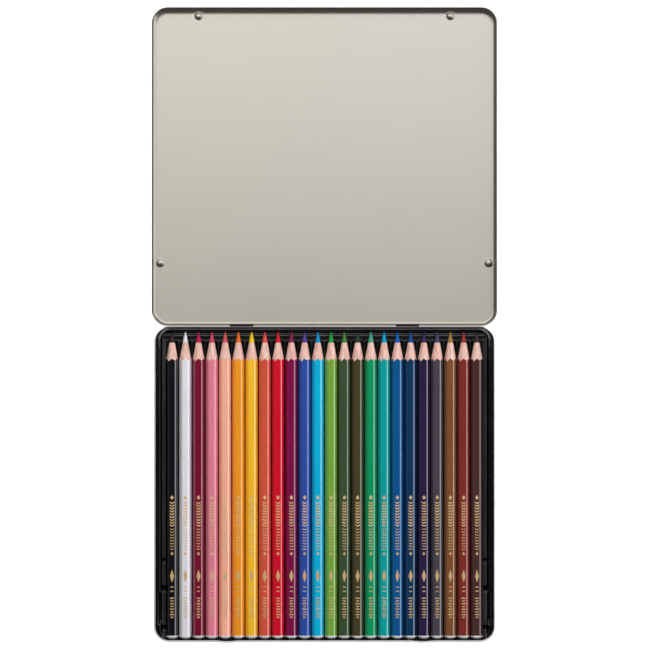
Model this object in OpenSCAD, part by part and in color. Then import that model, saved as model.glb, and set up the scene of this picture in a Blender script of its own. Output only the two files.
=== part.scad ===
// Hinged tin for coloured pencils, lid open flat.
// Millimetres. +Z up, origin at the middle of the base's underside,
// +Y towards the hinge and the open lid, +X to the right.

/* [Base pan] */
// Width of the base over its rolled rim, left to right
base_x = 194.4; // [194:0.1:195]
// Depth of the base over its rolled rim, front to hinge
base_y = 179.6; // [179.2:0.1:179.7]
// Height of the base rim above the table
base_h = 10.2; // [9.8:0.1:10.3]
// Corner radius of the base over the rim
base_r = 8.7; // [8:0.1:10]
// Radius of the outward roll of the base rim
roll_r = 0.45; // [0.4:0.01:0.47]
// How far each snap bulge stands proud of the front rim
bulge_out = 0.5; // [0.3:0.05:0.6]
// Width of a snap bulge
bulge_w = 12; // [8:0.5:16]
// Distance of each snap bulge from the middle
bulge_x = 55.5; // [30:0.5:75]

/* [Lid pan] */
// Width of the lid outside
lid_x = 197; // [196.8:0.1:199]
// Depth of the lid outside, hinge side to far side
lid_y = 181.9; // [181.8:0.1:183]
// Corner radius of the lid outside
lid_r = 9.2; // [8.5:0.1:10.5]
// Height of the hemmed strip along the lid rim
hem_h = 3.0; // [2:0.1:3.5]
// Height of the whole tin when it is shut
shut_h = 12.7; // [12.6:0.1:14]

/* [Lid nubs] */
// Radius of a pressed nub where it leaves the panel
nub_r = 2.2; // [1.5:0.1:2.6]
// Height of a nub above the panel
nub_h = 1.5; // [0.8:0.1:1.6]
// Distance of a nub's centre from the outside of the lid
nub_in = 4.8; // [4.7:0.1:5.2]
// Distance of the two far nubs from the middle
nub_far_x = 71.8; // [50:0.5:80]
// Distance of the two side nubs from the lid's hinge edge
nub_side_y = 36.1; // [25:0.1:60]

/* [Sheet] */
// Thickness of the tinplate
sheet = 0.3; // [0.25:0.01:0.32]
// Outside radius of the bend between wall and floor
bend_r = 2.3; // [1.8:0.1:2.6]

/* [Hinge] */
// Radius of the hinge bars left in the lid rim
bar_r = 0.35; // [0.33:0.01:0.37]
// Thickness of the tongue that curls round each bar
tongue_t = 0.25; // [0.2:0.01:0.28]
// Radial running clearance between bar and tongue
bar_gap = 0.05; // [0.03:0.01:0.08]
// Distance of each hinge tongue from the middle
hinge_x = 47.3; // [35:0.5:70]
// Length of each slot in the lid wall
slot_len = 13.7; // [10:0.1:18]
// Gap between the base rim and the lid wall at the hinge
rear_gap = 0.2; // [0.2:0.05:0.4]

/* [Pencils] */
// Length of a pencil
pencil_len = 175; // [174.6:0.1:175.1]
// Width across the flats of a pencil
hex_af = 6.6; // [6.4:0.05:6.7]
// Radius over the rounded edges of a pencil
hex_corner_r = 3.69; // [3.6:0.01:3.7]
// Spacing of the pencils
pitch = 7.55; // [7.5:0.01:7.58]
// Radius of a lead core
lead_r = 1.5; // [1.2:0.05:1.8]
// Radius of a sharpened point
point_r = 0.35; // [0.25:0.05:0.5]
// Radius gained for each mm back from the point
cone_slope = 0.189; // [0.17:0.005:0.21]
// Height of the pencils' lower flats above the table
pencil_z = 2.2; // [2.2:0.05:2.6]

/* [Tray] */
// Thickness of the tray's sheet
skin = 0.4; // [0.35:0.01:0.45]
// Height of the tray's rim flange
flange_z = 9.0; // [8.6:0.1:9.2]
// Width of the rim flange along the sides
flange_w = 2.7; // [2.6:0.1:2.8]
// Width of the channel inside the flange
channel_w = 0.8; // [0.6:0.1:1]
// Height of the side rails
rail_z = 7.0; // [6:0.1:7.6]
// Height of the ledge under the points
ledge_z = 4.0; // [3.4:0.1:4.1]
// Height of the ribs between the pencils
rib_z = 4.3; // [3.4:0.1:4.4]

/* [Hidden] */
$fn = 64;

eps = 0.01;
pencils = 24;

// hinge axis
axis_y = base_y / 2 + rear_gap + bar_r;
axis_z = shut_h / 2;
// lid: outer face of the hinge-side wall, and the rim's height
lid_y0 = axis_y - bar_r;
lid_rim = axis_z + bar_r;

// base wall stands this far inside the rolled rim's outside
wall_in = 2 * roll_r - sheet;
// inside of the base wall, measured from the rim's outside
well_in = 2 * roll_r;
// slack between the tray and the base wall
tray_slack = 0.1;
tray_x = base_x - 2 * (well_in + tray_slack);
tray_y = base_y - 2 * (well_in + tray_slack);
tray_r = base_r - well_in - tray_slack;
tray_floor = sheet + 0.05;

// pencil lengthwise place: the dipped end and the point
end_y = -88.35;
tip_y = end_y + pencil_len;
hex_z = pencil_z + hex_af / 2;
// groove floor, just under the pencils
groove_z = pencil_z - 0.05;

// inner face of the side wall of the tray well, and the rail's two faces
well_x = tray_x / 2 - flange_w - skin;
rail_x1 = well_x - channel_w;
rail_x0 = rail_x1 - 1.6;
// front wall of the tray well
front_y = -tray_y / 2 + 0.3;
// rear: flange edge, ledge edge and the rib ends
flange_y = tray_y / 2 - 2.1;
ledge_y = tray_y / 2 - 4.7;
rib_y = tray_y / 2 - 6.3;

// colours of the 24 barrels, left to right
barrel = [
    "#18161f", "#dcdae0", "#7c0d2e", "#dd7f96", "#ebaa91", "#e69023",
    "#e8b42d", "#cd503c", "#c80a28", "#780a46", "#2a4b9b", "#00a8cd",
    "#6e9e37", "#3a4b32", "#463e23", "#05915f", "#009b9b", "#00508c",
    "#05375a", "#281c41", "#4b414e", "#7d4e2d", "#802a26", "#462a2d"
];
// colours of the 24 leads
core = [
    "#32282f", "#e2e0e8", "#af1950", "#cd415f", "#cd5a64", "#e16e23",
    "#f5cd0a", "#dc5546", "#d7142d", "#821e50", "#504196", "#0091c8",
    "#149b37", "#4b8237", "#2d3c32", "#46a587", "#00a0c8", "#005aaa",
    "#0a4b8c", "#371e55", "#4b4164", "#a57d41", "#963237", "#412d32"
];

// ---- helpers -------------------------------------------------------------

// Flat rounded rectangle w by d with corner radius r, centred
module rounded(w, d, r) {
    square([w - 2 * r, d], center = true);
    square([w, d - 2 * r], center = true);
    for (sx = [-1, 1], sy = [-1, 1])
        translate([sx * (w / 2 - r), sy * (d / 2 - r)]) circle(r = r);
}

// Solid rounded rectangle from z0 to z1
module slab(w, d, r, z0, z1) {
    translate([0, 0, z0]) linear_extrude(z1 - z0) rounded(w, d, r);
}

// Carries a wall profile round a rounded rectangle. The profile's x is the
// distance outwards from the corner centre, so the outside of the wall is r.
module round_the_rim(w, d, r) {
    for (s = [0, 1]) rotate([0, 0, 180 * s]) {
        translate([w / 2 - r, d / 2 - r, 0])
            rotate([90, 0, 0]) linear_extrude(d - 2 * r) children();
        translate([-(w / 2 - r), d / 2 - r, 0])
            rotate([90, 0, 90]) linear_extrude(w - 2 * r) children();
        translate([w / 2 - r, d / 2 - r, 0]) rotate_extrude(angle = 90) children();
        translate([-(w / 2 - r), d / 2 - r, 0])
            rotate([0, 0, 90]) rotate_extrude(angle = 90) children();
    }
}

// Box given by its two corners
module box(a, b) {
    translate(a) cube([b[0] - a[0], b[1] - a[1], b[2] - a[2]]);
}

// Quarter bend between the wall and the floor, outer corner at [x1, 0]
module bend(x1) {
    intersection() {
        translate([x1 - bend_r, 0]) square([bend_r, bend_r]);
        difference() {
            translate([x1 - bend_r, bend_r]) circle(r = bend_r);
            translate([x1 - bend_r, bend_r]) circle(r = bend_r - sheet);
        }
    }
}

// ---- base pan ------------------------------------------------------------

// Wall of the base: outside of the rim at x = base_r
module base_profile() {
    x1 = base_r - wall_in;
    bend(x1);
    translate([x1 - sheet, bend_r - eps]) square([sheet, base_h - roll_r - bend_r + eps]);
    translate([base_r - roll_r, base_h - roll_r]) circle(r = roll_r);
}

// Arc-shaped bulge of the front rim, centred at x = 0
module snap_bulge() {
    arc = (pow(bulge_w / 2, 2) + pow(bulge_out, 2)) / (2 * bulge_out);
    z0 = base_h - 1.75 * roll_r;
    intersection() {
        translate([0, -base_y / 2 - bulge_out + arc, z0]) cylinder(r = arc, h = 1.5 * roll_r);
        box([-bulge_w, -base_y / 2 - 2, z0 - 1], [bulge_w, -base_y / 2 + roll_r, base_h + 1]);
    }
}

// Tongue of the base: leaves the wall, passes under the bar and curls over it
module hinge_tongue() {
    ro = bar_r + bar_gap + tongue_t;
    len = slot_len - 0.6;
    translate([-len / 2, axis_y, axis_z]) rotate([90, 0, 90]) linear_extrude(len)
        difference() {
            union() {
                circle(r = ro);
                translate([-(axis_y - base_y / 2 + wall_in + 0.1), -ro])
                    square([axis_y - base_y / 2 + wall_in + 0.1, tongue_t]);
            }
            circle(r = bar_r + bar_gap);
            // the curl stops short of the wall it came from
            translate([-ro - 0.1, -bar_r - bar_gap])
                square([ro - 0.15, bar_r + bar_gap + 0.34]);
        }
}

module base_pan() {
    color("#a9a8a4") {
        difference() {
            union() {
                round_the_rim(base_x, base_y, base_r) base_profile();
                slab(base_x - 2 * (wall_in + bend_r), base_y - 2 * (wall_in + bend_r),
                     base_r - wall_in - bend_r, 0, sheet);
            }
            // windows that the tongues were cut and bent out of
            for (s = [-1, 1])
                box([s * hinge_x - slot_len / 2 + 0.3, base_y / 2 - well_in - 0.2, axis_z - bar_r - bar_gap],
                    [s * hinge_x + slot_len / 2 - 0.3, base_y / 2 - wall_in + 0.2, base_h - 1.5]);
        }
        for (s = [-1, 1]) {
            translate([s * bulge_x, 0, 0]) snap_bulge();
            translate([s * hinge_x, 0, 0]) hinge_tongue();
        }
    }
}

// ---- lid pan -------------------------------------------------------------

// Wall of the lid: outside at x = lid_r, plain sheet below, folded hem above
module lid_profile() {
    bend(lid_r);
    translate([lid_r - sheet, bend_r - eps]) square([sheet, lid_rim - bar_r - bend_r + eps]);
    translate([lid_r - 2 * bar_r, lid_rim - hem_h]) square([2 * bar_r, hem_h - bar_r]);
    translate([lid_r - bar_r, lid_rim - bar_r]) circle(r = bar_r);
}

nub_s = (nub_r * nub_r + nub_h * nub_h) / (2 * nub_h);
nubs = [
    [-nub_far_x, lid_y - nub_in], [nub_far_x, lid_y - nub_in],
    [-lid_x / 2 + nub_in, nub_side_y], [lid_x / 2 - nub_in, nub_side_y]
];

module lid_pan() {
    color("#cdc9bd") {
        difference() {
            union() {
                translate([0, lid_y0 + lid_y / 2, 0]) {
                    round_the_rim(lid_x, lid_y, lid_r) lid_profile();
                    slab(lid_x - 2 * bend_r, lid_y - 2 * bend_r, lid_r - bend_r, 0, sheet);
                }
                for (p = nubs) difference() {
                    translate([p[0], lid_y0 + p[1], sheet + nub_h - nub_s]) sphere(r = nub_s);
                    translate([p[0] - 4, lid_y0 + p[1] - 4, -8]) cube([8, 8, 8]);
                }
            }
            // the hollow side of each nub
            for (p = nubs)
                translate([p[0], lid_y0 + p[1], sheet + nub_h - nub_s]) sphere(r = nub_s - sheet);
            // slots in the hinge-side wall
            for (s = [-1, 1])
                box([s * hinge_x - slot_len / 2, lid_y0 - 0.1, axis_z - 1.3],
                    [s * hinge_x + slot_len / 2, lid_y0 + 1, lid_rim + 0.1]);
        }
        // round hinge bar across each slot
        for (s = [-1, 1])
            translate([s * hinge_x - slot_len / 2, axis_y, axis_z])
                rotate([0, 90, 0]) cylinder(r = bar_r, h = slot_len);
    }
}

// ---- tray ----------------------------------------------------------------

// One groove's cut above the tray's skin, between two rib crests
function groove_top(x) = [
    [x - pitch / 2 + 0.35, rib_z], [x - 2.2, groove_z],
    [x + 2.2, groove_z], [x + pitch / 2 - 0.35, rib_z]
];

// Hollow under one rib
function rib_hollow(x) = [
    [x - 1.0, groove_z - skin - eps], [x + 1.0, groove_z - skin - eps], [x, rib_z - 0.9]
];

// Space above the skin over all the grooves
module grooves_above() {
    n = pencils;
    linear_extrude(ledge_y - front_y)
        polygon(concat(
            [[-rail_x0, 12]],
            [[-rail_x0, groove_z]],
            [for (p = slice(groove_top(-(n - 1) / 2 * pitch), 2)) p],
            [for (i = [1 : n - 2]) for (p = groove_top((i - (n - 1) / 2) * pitch)) p],
            [for (p = slice(groove_top((n - 1) / 2 * pitch), 0)) p],
            [[rail_x0, groove_z]],
            [[rail_x0, 12]]
        ));
}

// The two inner points on one end of a groove's cut: 2 keeps the right end,
// 0 keeps the left end
function slice(g, k) = [g[k], g[k + 1]];

// Outline of the tray's well, inside the flange
module well() {
    translate([0, (front_y + flange_y) / 2]) rounded(2 * well_x, flange_y - front_y, 6);
}

// Outline of the channel: along both sides and across the rear
module channel() {
    intersection() {
        well();
        union() {
            for (s = [-1, 1])
                translate([s * (rail_x1 + 10), (ledge_y - 82) / 2])
                    square([20, ledge_y + 82], center = true);
            translate([-100, rib_y]) square([200, ledge_y - rib_y]);
        }
    }
}

// Gaps along the side rails, as [from y, to y]
rail_gaps = [[-44.3, -42.5], [-60.9, -57.9], [-82.9, -80.5]];
// Finger recesses beside the rails, as [from y, to y]
scoop = [-80.5, -60.9];

// Outline of one finger recess beside x = 0, widened by grow
module recess(grow) {
    r = 1.5;
    for (y = [scoop[0] + 3, scoop[1] - 3]) translate([0, y]) circle(r = r + grow);
    translate([-r - grow, scoop[0] + 3]) square([2 * (r + grow), scoop[1] - scoop[0] - 6]);
}

module pencil_tray() {
    color("#1c1c1e")
    difference() {
        // block of the full outline, from the pan floor to the flange
        slab(tray_x, tray_y, tray_r, tray_floor, flange_z);

        // under the flange, outside the well wall
        translate([0, 0, tray_floor - 1]) linear_extrude(flange_z - skin - tray_floor + 1)
            difference() {
                rounded(tray_x + 2, tray_y + 2, tray_r + 1);
                square([2 * (well_x + skin), 400], center = true);
                for (s = [-1, 1]) translate([s * well_x, 0]) recess(skin);
            }
        // the bottom edge, clear of the bend round the pan's floor
        translate([0, 0, tray_floor - 1]) linear_extrude(groove_z - skin - 0.05 - tray_floor + 1)
            difference() {
                square([400, 400], center = true);
                rounded(tray_x - 3.9, tray_y - 3.9, tray_r - 1.95);
            }
        translate([0, 0, tray_floor - 1]) linear_extrude(bend_r + 1)
            difference() {
                square([400, 400], center = true);
                rounded(tray_x - 0.2, tray_y - 0.2, tray_r - 0.1);
            }
        // under the rear flange
        box([-well_x - skin - eps, flange_y + skin, tray_floor - 1],
            [well_x + skin + eps, tray_y / 2 + 1, flange_z - skin]);

        // the well above the rails
        translate([0, 0, rail_z]) linear_extrude(10) well();
        // above the ledge under the points
        translate([0, 0, ledge_z]) linear_extrude(10) intersection() {
            well();
            translate([-100, rib_y]) square([200, 100]);
        }
        // channel inside the flange, round the sides and the rear
        translate([0, 0, tray_floor + skin]) linear_extrude(10) channel();
        // a hollow in the flange's edge at every point
        for (i = [0 : pencils - 1])
            translate([(i - (pencils - 1) / 2) * pitch, flange_y, ledge_z]) cylinder(r = 1.0, h = 10);
        // grooves, open above
        translate([0, ledge_y, 0]) rotate([90, 0, 0]) grooves_above();
        // gaps in the rails
        for (s = [-1, 1], g = rail_gaps)
            translate([s * (rail_x0 + rail_x1) / 2, (g[0] + g[1]) / 2, groove_z])
                linear_extrude(20)
                    square([rail_x1 - rail_x0 + 0.2, g[1] - g[0]], center = true);
        // finger recesses at the front of both sides
        for (s = [-1, 1])
            translate([s * well_x, 0, groove_z]) linear_extrude(20) recess(0);

        // underside: below the grooves, between the side channels
        box([-rail_x1 + skin, front_y + skin + 0.4, tray_floor - 1],
            [rail_x1 - skin, rib_y - skin, groove_z - skin]);
        // underside: inside every rib
        translate([0, rib_y - 1, 0]) rotate([90, 0, 0]) linear_extrude(rib_y - 1 - front_y - 1.4)
            for (i = [1 : pencils - 1]) polygon(rib_hollow((i - pencils / 2) * pitch));
        // underside: inside the rear ledge
        box([-well_x + 6, ledge_y + skin, tray_floor - 1],
            [well_x - 6, flange_y - 1.3, ledge_z - skin]);
    }
}

// ---- pencils -------------------------------------------------------------

// Distance back from the point at which the cone reaches radius r
function back(r) = (r - point_r) / cone_slope;

// Outline of a whole pencil turned on its axis: dipped end at 0, point at the end
module pencil_outline() {
    rr = hex_corner_r;
    polygon(concat(
        [[0, 0]],
        [for (k = [1 : 6]) [rr * k / 6, 1.5 * pow(k / 6, 3)]],
        [[rr, pencil_len - back(rr)], [point_r, pencil_len], [0, pencil_len]]
    ));
}

// A pencil's pieces lie along Y with one flat up
module lie(i) {
    translate([(i - (pencils + 1) / 2) * pitch, end_y, hex_z]) rotate([-90, 0, 0]) children();
}

// Hexagonal wooden casing with its sharpened cone and its bore
module casing(i) {
    color(barrel[i - 1]) lie(i) difference() {
        intersection() {
            cylinder(r = hex_af / sqrt(3), h = pencil_len, $fn = 6);
            rotate_extrude() pencil_outline();
        }
        translate([0, 0, 2.6]) cylinder(r = lead_r, h = pencil_len);
    }
}

// Lead core with its point
module lead(i) {
    color(core[i - 1]) lie(i) rotate_extrude() polygon([
        [0, 2.6], [lead_r, 2.6], [lead_r, pencil_len - back(lead_r)],
        [point_r, pencil_len - 0.15], [point_r - 0.15, pencil_len], [0, pencil_len]
    ]);
}

base_pan();
lid_pan();
pencil_tray();
casing(1);  // pencil_01_casing
lead(1);  // pencil_01_lead
casing(2);  // pencil_02_casing
lead(2);  // pencil_02_lead
casing(3);  // pencil_03_casing
lead(3);  // pencil_03_lead
casing(4);  // pencil_04_casing
lead(4);  // pencil_04_lead
casing(5);  // pencil_05_casing
lead(5);  // pencil_05_lead
casing(6);  // pencil_06_casing
lead(6);  // pencil_06_lead
casing(7);  // pencil_07_casing
lead(7);  // pencil_07_lead
casing(8);  // pencil_08_casing
lead(8);  // pencil_08_lead
casing(9);  // pencil_09_casing
lead(9);  // pencil_09_lead
casing(10);  // pencil_10_casing
lead(10);  // pencil_10_lead
casing(11);  // pencil_11_casing
lead(11);  // pencil_11_lead
casing(12);  // pencil_12_casing
lead(12);  // pencil_12_lead
casing(13);  // pencil_13_casing
lead(13);  // pencil_13_lead
casing(14);  // pencil_14_casing
lead(14);  // pencil_14_lead
casing(15);  // pencil_15_casing
lead(15);  // pencil_15_lead
casing(16);  // pencil_16_casing
lead(16);  // pencil_16_lead
casing(17);  // pencil_17_casing
lead(17);  // pencil_17_lead
casing(18);  // pencil_18_casing
lead(18);  // pencil_18_lead
casing(19);  // pencil_19_casing
lead(19);  // pencil_19_lead
casing(20);  // pencil_20_casing
lead(20);  // pencil_20_lead
casing(21);  // pencil_21_casing
lead(21);  // pencil_21_lead
casing(22);  // pencil_22_casing
lead(22);  // pencil_22_lead
casing(23);  // pencil_23_casing
lead(23);  // pencil_23_lead
casing(24);  // pencil_24_casing
lead(24);  // pencil_24_lead
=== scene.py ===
import math

import bpy
import numpy as np
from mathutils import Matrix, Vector, geometry


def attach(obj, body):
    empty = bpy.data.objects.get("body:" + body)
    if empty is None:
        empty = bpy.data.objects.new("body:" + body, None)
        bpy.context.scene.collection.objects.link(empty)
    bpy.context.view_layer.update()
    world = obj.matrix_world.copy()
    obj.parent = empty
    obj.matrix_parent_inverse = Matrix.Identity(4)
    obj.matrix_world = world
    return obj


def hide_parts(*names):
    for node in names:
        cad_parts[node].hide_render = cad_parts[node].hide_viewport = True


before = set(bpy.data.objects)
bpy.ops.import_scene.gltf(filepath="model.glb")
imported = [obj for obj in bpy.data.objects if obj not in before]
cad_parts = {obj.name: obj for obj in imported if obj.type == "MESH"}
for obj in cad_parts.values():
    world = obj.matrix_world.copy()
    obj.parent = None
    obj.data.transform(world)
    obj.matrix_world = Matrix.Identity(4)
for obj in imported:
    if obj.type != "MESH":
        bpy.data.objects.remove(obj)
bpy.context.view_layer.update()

MM = 0.001

# ---------------------------------------------------------------- dimensions
# Millimetres, in the frame of the CAD part.
BASE_X, BASE_Y, BASE_H, BASE_R = 194.4, 179.6, 10.2, 8.7
ROLL_R, SHEET, BEND = 0.45, 0.3, 2.3
LID_X, LID_Y, LID_R = 197.0, 181.9, 9.2
AXIS_Y, AXIS_Z, BAR_R = 90.35, 6.35, 0.35
LID_Y0 = AXIS_Y - BAR_R
LID_RIM = AXIS_Z + BAR_R
HEM_H = 3.0
HINGE_X, SLOT = 47.3, 13.7
NUBS = [(-71.8, LID_Y0 + LID_Y - 4.8), (71.8, LID_Y0 + LID_Y - 4.8),
        (-LID_X / 2 + 4.8, LID_Y0 + 36.1), (LID_X / 2 - 4.8, LID_Y0 + 36.1)]
PITCH, END_Y, TIP_Y, HEX_Z = 7.55, -88.35, 86.65, 5.5
HEX_A, CONE, POINT_R, LEAD_R = 3.3, 0.189, 0.43, 1.58
SIDE_R, LOW_R, EDGE_R = 1.8, 1.7, 1.0
CROWN = ((0, 27, 1.0), (27, 42, 3.0), (42, 60, 0.8))  # upper edges: from tilt, to tilt, radius


# ---------------------------------------------------------------- mesh tools
class Shape:
    """Collects points in mm, faces with a material index, and creased rings."""

    def __init__(self):
        self.v, self.f, self.m, self.crease = [], [], [], []

    def add(self, pts):
        n = len(self.v)
        self.v.extend([tuple(map(float, p)) for p in pts])
        return list(range(n, n + len(pts)))

    def face(self, ids, mat=0):
        self.f.append(tuple(ids))
        self.m.append(mat)

    def band(self, a, b, mat=0, closed=True):
        n = len(a)
        for i in range(n if closed else n - 1):
            j = (i + 1) % n
            self.face((a[i], a[j], b[j], b[i]), mat)

    def fan(self, ring, centre, mat=0):
        c = self.add([centre])[0]
        n = len(ring)
        for i in range(n):
            self.face((ring[i], ring[(i + 1) % n], c), mat)

    def prism(self, poly, lo, hi, mat=0):
        """Flat polygon of (x, y) extruded from z lo to z hi."""
        a = self.add([(x, y, lo) for x, y in poly])
        b = self.add([(x, y, hi) for x, y in poly])
        self.band(a, b, mat)
        self.face(a[::-1], mat)
        self.face(b, mat)


def make(name, s, mats, body, nodes=(), sharp=32.0, fix=True):
    me = bpy.data.meshes.new(name)
    co = np.array(s.v, float) * MM
    me.from_pydata(co.tolist(), [], s.f)
    me.update()
    for m in mats:
        me.materials.append(m)
    me.polygons.foreach_set("material_index", np.array(s.m, np.int32))
    if fix:
        import bmesh
        bm = bmesh.new()
        bm.from_mesh(me)
        bmesh.ops.remove_doubles(bm, verts=bm.verts, dist=1e-7)
        bmesh.ops.recalc_face_normals(bm, faces=bm.faces)
        bm.to_mesh(me)
        bm.free()
    me.polygons.foreach_set("use_smooth", np.ones(len(me.polygons), bool))
    me.set_sharp_from_angle(angle=math.radians(sharp))
    if s.crease:
        keys = {tuple(np.round(co[i] * 1e7).astype(int)) for ring in s.crease for i in ring}
        vs = np.zeros(len(me.vertices) * 3)
        me.vertices.foreach_get("co", vs)
        hit = [tuple(k) in keys for k in np.round(vs.reshape(-1, 3) * 1e7).astype(int)]
        att = me.attributes.get("sharp_edge") or me.attributes.new("sharp_edge", "BOOLEAN", "EDGE")
        for e in me.edges:
            if hit[e.vertices[0]] and hit[e.vertices[1]]:
                att.data[e.index].value = True
    ob = bpy.data.objects.new(name, me)
    bpy.context.scene.collection.objects.link(ob)
    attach(ob, body)
    if nodes:
        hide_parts(*nodes)
    return ob


def cut(ob, boxes):
    """Takes boxes (lo, hi in mm) out of a closed mesh."""
    s = Shape()
    for lo, hi in boxes:
        s.prism([(lo[0], lo[1]), (hi[0], lo[1]), (hi[0], hi[1]), (lo[0], hi[1])], lo[2], hi[2])
    me = bpy.data.meshes.new("cutter")
    me.from_pydata((np.array(s.v) * MM).tolist(), [], s.f)
    tool = bpy.data.objects.new("cutter", me)
    bpy.context.scene.collection.objects.link(tool)
    mod = ob.modifiers.new("cut", "BOOLEAN")
    mod.operation, mod.solver, mod.object = "DIFFERENCE", "EXACT", tool
    bpy.context.view_layer.update()
    dg = bpy.context.evaluated_depsgraph_get()
    new = bpy.data.meshes.new_from_object(ob.evaluated_get(dg))
    ob.modifiers.remove(mod)
    old = ob.data
    ob.data = new
    new.name = old.name + "_cut"
    bpy.data.objects.remove(tool)
    bpy.data.meshes.remove(me)
    bpy.data.meshes.remove(old)
    return ob


# ---------------------------------------------------------------- materials
def srgb(r, g, b):
    return tuple((c / 255 / 12.92) if c / 255 <= 0.04045 else ((c / 255 + 0.055) / 1.055) ** 2.4
                 for c in (r, g, b))


class Mat:
    """A small wrapper that wires nodes by name."""

    def __init__(self, name):
        self.mat = bpy.data.materials.new(name)
        self.mat.use_nodes = True
        self.nt = self.mat.node_tree
        self.bsdf = self.nt.nodes["Principled BSDF"]
        self.coord = self.node("ShaderNodeTexCoord").outputs["Object"]

    def node(self, kind, **props):
        n = self.nt.nodes.new(kind)
        for k, v in props.items():
            setattr(n, k, v)
        return n

    def link(self, a, b):
        self.nt.links.new(a, b)

    def set(self, **kw):
        for k, v in kw.items():
            k = k.replace("_", " ")
            self.bsdf.inputs[k].default_value = (*v, 1.0) if isinstance(v, tuple) and len(v) == 3 else v

    def mapped(self, scale, loc=(0, 0, 0)):
        m = self.node("ShaderNodeMapping")
        m.inputs["Scale"].default_value = scale
        m.inputs["Location"].default_value = loc
        self.link(self.coord, m.inputs["Vector"])
        return m.outputs["Vector"]

    def noise(self, scale, detail=3.0, rough=0.55, stretch=(1, 1, 1), loc=(0, 0, 0), distortion=0.0):
        n = self.node("ShaderNodeTexNoise")
        n.inputs["Scale"].default_value = scale
        n.inputs["Detail"].default_value = detail
        n.inputs["Roughness"].default_value = rough
        n.inputs["Distortion"].default_value = distortion
        self.link(self.mapped(stretch, loc), n.inputs["Vector"])
        return n.outputs["Fac"]

    def ramp(self, fac, stops):
        r = self.node("ShaderNodeValToRGB")
        e = r.color_ramp.elements
        while len(e) < len(stops):
            e.new(0.5)
        for k, (pos, col) in enumerate(stops):
            e[k].position = pos
            e[k].color = (*col, 1.0) if len(col) == 3 else col
        self.link(fac, r.inputs["Fac"])
        return r.outputs["Color"]

    def remap(self, fac, a, b, lo, hi):
        m = self.node("ShaderNodeMapRange")
        m.inputs["From Min"].default_value = a
        m.inputs["From Max"].default_value = b
        m.inputs["To Min"].default_value = lo
        m.inputs["To Max"].default_value = hi
        self.link(fac, m.inputs["Value"])
        return m.outputs["Result"]

    def mix(self, fac, a, b, mode="MIX"):
        m = self.node("ShaderNodeMix", data_type="RGBA", blend_type=mode)
        if hasattr(fac, "links"):
            self.link(fac, m.inputs[0])
        else:
            m.inputs[0].default_value = fac
        for sock, val in ((m.inputs[6], a), (m.inputs[7], b)):
            if hasattr(val, "links"):
                self.link(val, sock)
            else:
                sock.default_value = (*val, 1.0)
        return m.outputs[2]

    def math(self, op, a, b=None):
        m = self.node("ShaderNodeMath", operation=op)
        for sock, val in ((m.inputs[0], a), (m.inputs[1], b)):
            if val is None:
                continue
            if hasattr(val, "links"):
                self.link(val, sock)
            else:
                sock.default_value = val
        return m.outputs[0]

    def bump(self, height, strength=0.2, distance=0.0001, normal=None):
        b = self.node("ShaderNodeBump")
        b.inputs["Strength"].default_value = strength
        b.inputs["Distance"].default_value = distance
        self.link(height, b.inputs["Height"])
        if normal is not None:
            self.link(normal, b.inputs["Normal"])
        return b.outputs["Normal"]

    def to(self, socket, out):
        self.link(out, self.bsdf.inputs[socket])


def shade(c, k):
    return tuple(min(1.0, x * k) for x in c)


def tin_inside(name, tone):
    """Bare satin tinplate: fine grain and slow tonal drift."""
    m = Mat(name)
    m.set(Metallic=1.0, Roughness=0.4)
    drift = m.noise(9.0, 2.0, 0.5)
    grain = m.noise(2600.0, 2.0, 0.6)
    base = m.ramp(drift, [(0.3, shade(tone, 0.965)), (0.7, shade(tone, 1.02))])
    base = m.mix(m.remap(grain, 0.3, 0.7, 0.0, 0.10), base, shade(tone, 0.82))
    m.to("Base Color", base)
    m.to("Roughness", m.remap(drift, 0.2, 0.8, 0.36, 0.42))
    n = m.bump(grain, 0.10, 0.00005)
    n = m.bump(m.noise(14.0, 1.0, 0.5, loc=(0.3, 0.1, 0)), 0.10, 0.0012, n)
    m.to("Normal", n)
    return m.mat


def black_lacquer(name, as_painted_shade=False):
    """Dark satin lacquer over tin, with slight wear and specks; as painted shade its tones are darkened further and
    its gloss lowered.
    """
    m = Mat(name)
    m.set(Metallic=0.0, Roughness=0.34)
    m.bsdf.inputs["Specular IOR Level"].default_value = 0.1 if as_painted_shade else 0.5
    m.bsdf.inputs["Coat Weight"].default_value = 0.0 if as_painted_shade else 0.25
    m.bsdf.inputs["Coat Roughness"].default_value = 0.2
    cloud = m.noise(30.0, 4.0, 0.55)
    speck = m.noise(1500.0, 2.0, 0.5)
    # painted shade darkens the lacquer tones to about a third
    k = 0.35 if as_painted_shade else 1.0
    base = m.ramp(cloud, [(0.3, shade(srgb(27, 27, 29), k)), (0.7, shade(srgb(37, 37, 39), k))])
    base = m.mix(m.remap(speck, 0.62, 0.74, 0.0, 0.5), base, shade(srgb(66, 66, 68), k))
    m.to("Base Color", base)
    m.to("Roughness", m.remap(cloud, 0.2, 0.8, 0.28, 0.42))
    m.to("Normal", m.bump(speck, 0.12, 0.00004))
    return m.mat


def tray_plastic(name, tones=((11, 11, 12), (16, 16, 17))):
    """Thermoformed black sheet: glossy skin with a soft pull texture."""
    m = Mat(name)
    m.set(Metallic=0.0, Roughness=0.16)
    m.bsdf.inputs["Specular IOR Level"].default_value = 0.5
    cloud = m.noise(60.0, 3.0, 0.5)
    peel = m.noise(900.0, 2.0, 0.5)
    m.to("Base Color", m.ramp(cloud, [(0.3, srgb(*tones[0])), (0.7, srgb(*tones[1]))]))
    m.to("Roughness", m.remap(cloud, 0.2, 0.8, 0.08, 0.12))
    m.to("Normal", m.bump(peel, 0.05, 0.00003))
    return m.mat


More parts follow.
